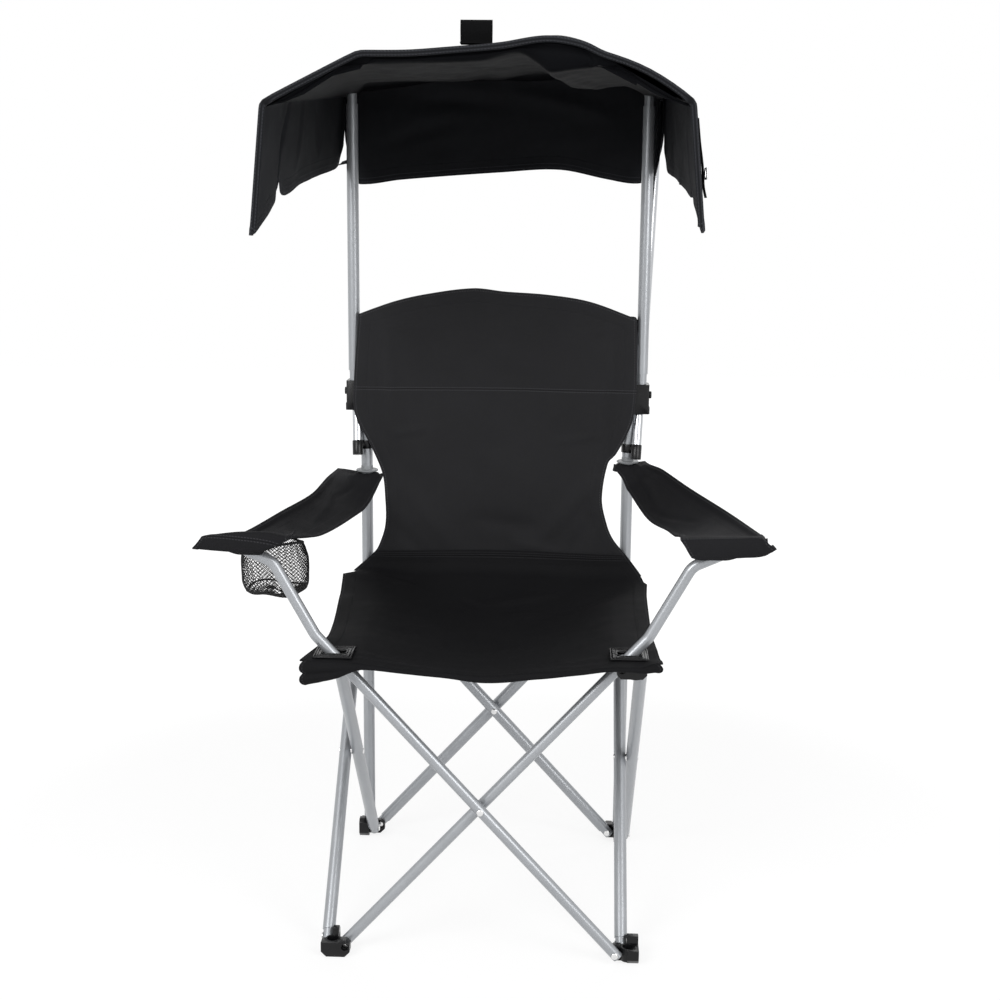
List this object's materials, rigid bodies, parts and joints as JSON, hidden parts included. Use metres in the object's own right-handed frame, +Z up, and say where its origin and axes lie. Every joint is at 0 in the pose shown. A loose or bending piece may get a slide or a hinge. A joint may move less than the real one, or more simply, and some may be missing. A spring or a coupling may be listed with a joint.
{
  "type": "folding camping chair with canopy",
  "caption": "Folding camping chair with crossed tube legs, cloth seat, back and armrests, a net cup holder and a cloth sun canopy on sliding poles.",
  "frame": {"origin": "on the ground under the middle of the chair's box", "axes": "+Z up, -Y the way the sitter faces, +X the sitter's left (the viewer's right from the front)"},
  "size_m": [0.808, 0.7403, 1.3003],
  "materials": {
    "painted_tube": "silver-grey powder coat",
    "chrome_rod": "bright plated",
    "black_plastic": "moulded, satin",
    "grey_plastic": "moulded, satin",
    "rivet_steel": "bright plated",
    "black_cloth": "woven polyester",
    "canopy_cloth": "woven polyester with a grey lining",
    "black_webbing": "woven webbing",
    "net_mesh": "open mesh"
  },
  "bodies": {
    "left_column": {"foot_back_left": "black_plastic", "foot_rivet_back_left_x": "rivet_steel", "foot_rivet_back_left_y": "rivet_steel", "post_left": "painted_tube", "backrest": "black_cloth", "armrest_left": "black_cloth", "arm_collar_left": "grey_plastic"},
    "right_column": {"foot_back_right": "black_plastic", "foot_rivet_back_right_x": "rivet_steel", "foot_rivet_back_right_y": "rivet_steel", "post_right": "painted_tube", "armrest_right": "black_cloth", "arm_collar_right": "grey_plastic"},
    "back_bar_outer": {"back_bar_outer": "painted_tube", "crossing_rivet_back": "rivet_steel"},
    "back_bar_inner": {"back_bar_inner": "painted_tube"},
    "slider_left": {"slider_back_left": "black_plastic", "seat": "black_cloth"},
    "slider_right": {"slider_back_right": "black_plastic"},
    "left_bar_inner": {"left_bar_inner": "painted_tube", "crossing_rivet_left": "rivet_steel"},
    "left_bar_outer": {"left_bar_outer": "painted_tube"},
    "right_bar_outer": {"right_bar_outer": "painted_tube", "crossing_rivet_right": "rivet_steel"},
    "right_bar_inner": {"right_bar_inner": "painted_tube"},
    "foot_front_left": {"foot_front_left": "black_plastic", "foot_rivet_front_left_x": "rivet_steel", "foot_rivet_front_left_y": "rivet_steel"},
    "foot_front_right": {"foot_front_right": "black_plastic", "foot_rivet_front_right_x": "rivet_steel", "foot_rivet_front_right_y": "rivet_steel"},
    "hub_front_left": {"hub_front_left": "black_plastic", "hub_rivet_front_left_arm": "rivet_steel", "hub_rivet_front_left_side": "rivet_steel", "seat_plate_left": "black_plastic"},
    "hub_front_right": {"hub_front_right": "black_plastic", "hub_rivet_front_right_arm": "rivet_steel", "hub_rivet_front_right_side": "rivet_steel", "seat_plate_right": "black_plastic"},
    "front_bar_inner": {"front_bar_inner": "painted_tube"},
    "front_bar_outer": {"front_bar_outer": "painted_tube", "crossing_rivet_front": "rivet_steel", "cup_net": "net_mesh"},
    "canopy_left": {"clamp_block_left": "black_plastic", "canopy_pole_left": "painted_tube", "canopy_rod_left": "chrome_rod", "canopy_rail_left": "painted_tube", "rod_end_left": "black_plastic", "canopy": "canopy_cloth", "canopy_loop": "black_webbing", "canopy_strap": "black_webbing", "strap_buckle": "rivet_steel"},
    "canopy_right": {"clamp_block_right": "black_plastic", "canopy_pole_right": "painted_tube", "canopy_rod_right": "chrome_rod", "canopy_rail_right": "painted_tube", "rod_end_right": "black_plastic"},
    "knob_left": {"clamp_knob_left": "black_plastic"},
    "knob_right": {"clamp_knob_right": "black_plastic"}
  },
  "joints": [
    {"name": "fold", "type": "hinge", "parent": "left_column", "child": "back_bar_outer", "pos_m": [-0.1955, 0.195, 0.015], "axis": [0, -1, 0], "range_deg": [0, 30.3], "deforming": ["seat", "backrest", "armrest_left", "armrest_right", "canopy"]},
    {"name": "back_crossing", "type": "hinge", "parent": "back_bar_outer", "child": "back_bar_inner", "pos_m": [0, 0.195, 0.2295], "axis": [0, -1, 0], "range_deg": [-60.6, 0]},
    {"name": "right_column_foot", "type": "hinge", "parent": "back_bar_inner", "child": "right_column", "pos_m": [0.1955, 0.195, 0.015], "axis": [0, -1, 0], "range_deg": [0, 30.3]},
    {"name": "slider_left_pivot", "type": "hinge", "parent": "back_bar_inner", "child": "slider_left", "pos_m": [-0.1955, 0.195, 0.444], "axis": [0, -1, 0], "range_deg": [0, 30.3]},
    {"name": "slider_right_pivot", "type": "hinge", "parent": "back_bar_outer", "child": "slider_right", "pos_m": [0.1955, 0.195, 0.444], "axis": [0, -1, 0], "range_deg": [-30.3, 0]},
    {"name": "left_bar_foot", "type": "hinge", "parent": "left_column", "child": "left_bar_inner", "pos_m": [-0.215, 0.1755, 0.015], "axis": [-1, 0, 0], "range_deg": [0, 30.3]},
    {"name": "left_crossing", "type": "hinge", "parent": "left_bar_inner", "child": "left_bar_outer", "pos_m": [-0.215, -0.02, 0.2295], "axis": [-1, 0, 0], "range_deg": [-60.6, 0]},
    {"name": "front_left_foot", "type": "hinge", "parent": "left_bar_outer", "child": "foot_front_left", "pos_m": [-0.215, -0.2155, 0.015], "axis": [-1, 0, 0], "range_deg": [0, 30.3]},
    {"name": "front_left_hub", "type": "hinge", "parent": "left_bar_inner", "child": "hub_front_left", "pos_m": [-0.215, -0.2155, 0.444], "axis": [-1, 0, 0], "range_deg": [-30.3, 0]},
    {"name": "right_bar_foot", "type": "hinge", "parent": "right_column", "child": "right_bar_outer", "pos_m": [0.215, 0.1755, 0.015], "axis": [-1, 0, 0], "range_deg": [0, 30.3]},
    {"name": "right_crossing", "type": "hinge", "parent": "right_bar_outer", "child": "right_bar_inner", "pos_m": [0.215, -0.02, 0.2295], "axis": [-1, 0, 0], "range_deg": [-60.6, 0]},
    {"name": "front_right_foot", "type": "hinge", "parent": "right_bar_inner", "child": "foot_front_right", "pos_m": [0.215, -0.2155, 0.015], "axis": [-1, 0, 0], "range_deg": [0, 30.3]},
    {"name": "front_right_hub", "type": "hinge", "parent": "right_bar_outer", "child": "hub_front_right", "pos_m": [0.215, -0.2155, 0.444], "axis": [-1, 0, 0], "range_deg": [-30.3, 0]},
    {"name": "front_bar_inner_foot", "type": "hinge", "parent": "foot_front_left", "child": "front_bar_inner", "pos_m": [-0.1955, -0.235, 0.015], "axis": [0, -1, 0], "range_deg": [0, 30.3]},
    {"name": "front_bar_outer_foot", "type": "hinge", "parent": "foot_front_right", "child": "front_bar_outer", "pos_m": [0.1955, -0.235, 0.015], "axis": [0, -1, 0], "range_deg": [-30.3, 0]},
    {"name": "canopy_slide", "type": "slide", "parent": "left_column", "child": "canopy_left", "axis": [0, 0, 1], "range_m": [0, 0.03]},
    {"name": "canopy_slide_right", "type": "slide", "parent": "right_column", "child": "canopy_right", "axis": [0, 0, 1], "range_m": [0, 0.03]},
    {"name": "knob_left_turn", "type": "hinge", "parent": "canopy_left", "child": "knob_left", "pos_m": [-0.247, 0.20185, 0.77], "axis": [-1, 0, 0], "range_deg": [0, 180]},
    {"name": "knob_right_turn", "type": "hinge", "parent": "canopy_right", "child": "knob_right", "pos_m": [0.247, 0.20185, 0.77], "axis": [1, 0, 0], "range_deg": [0, 180]}
  ],
  "couplings": [
    {"joint": "back_crossing", "follows": "fold", "ratio": -2},
    {"joint": "right_column_foot", "follows": "fold", "ratio": 1},
    {"joint": "slider_left_pivot", "follows": "fold", "ratio": 1},
    {"joint": "slider_right_pivot", "follows": "fold", "ratio": -1},
    {"joint": "left_bar_foot", "follows": "fold", "ratio": 1},
    {"joint": "left_crossing", "follows": "fold", "ratio": -2},
    {"joint": "front_left_foot", "follows": "fold", "ratio": 1},
    {"joint": "front_left_hub", "follows": "fold", "ratio": -1},
    {"joint": "right_bar_foot", "follows": "fold", "ratio": 1},
    {"joint": "right_crossing", "follows": "fold", "ratio": -2},
    {"joint": "front_right_foot", "follows": "fold", "ratio": 1},
    {"joint": "front_right_hub", "follows": "fold", "ratio": -1},
    {"joint": "front_bar_inner_foot", "follows": "fold", "ratio": 1},
    {"joint": "front_bar_outer_foot", "follows": "fold", "ratio": -1},
    {"joint": "canopy_slide_right", "follows": "canopy_slide", "ratio": 1}
  ]
}
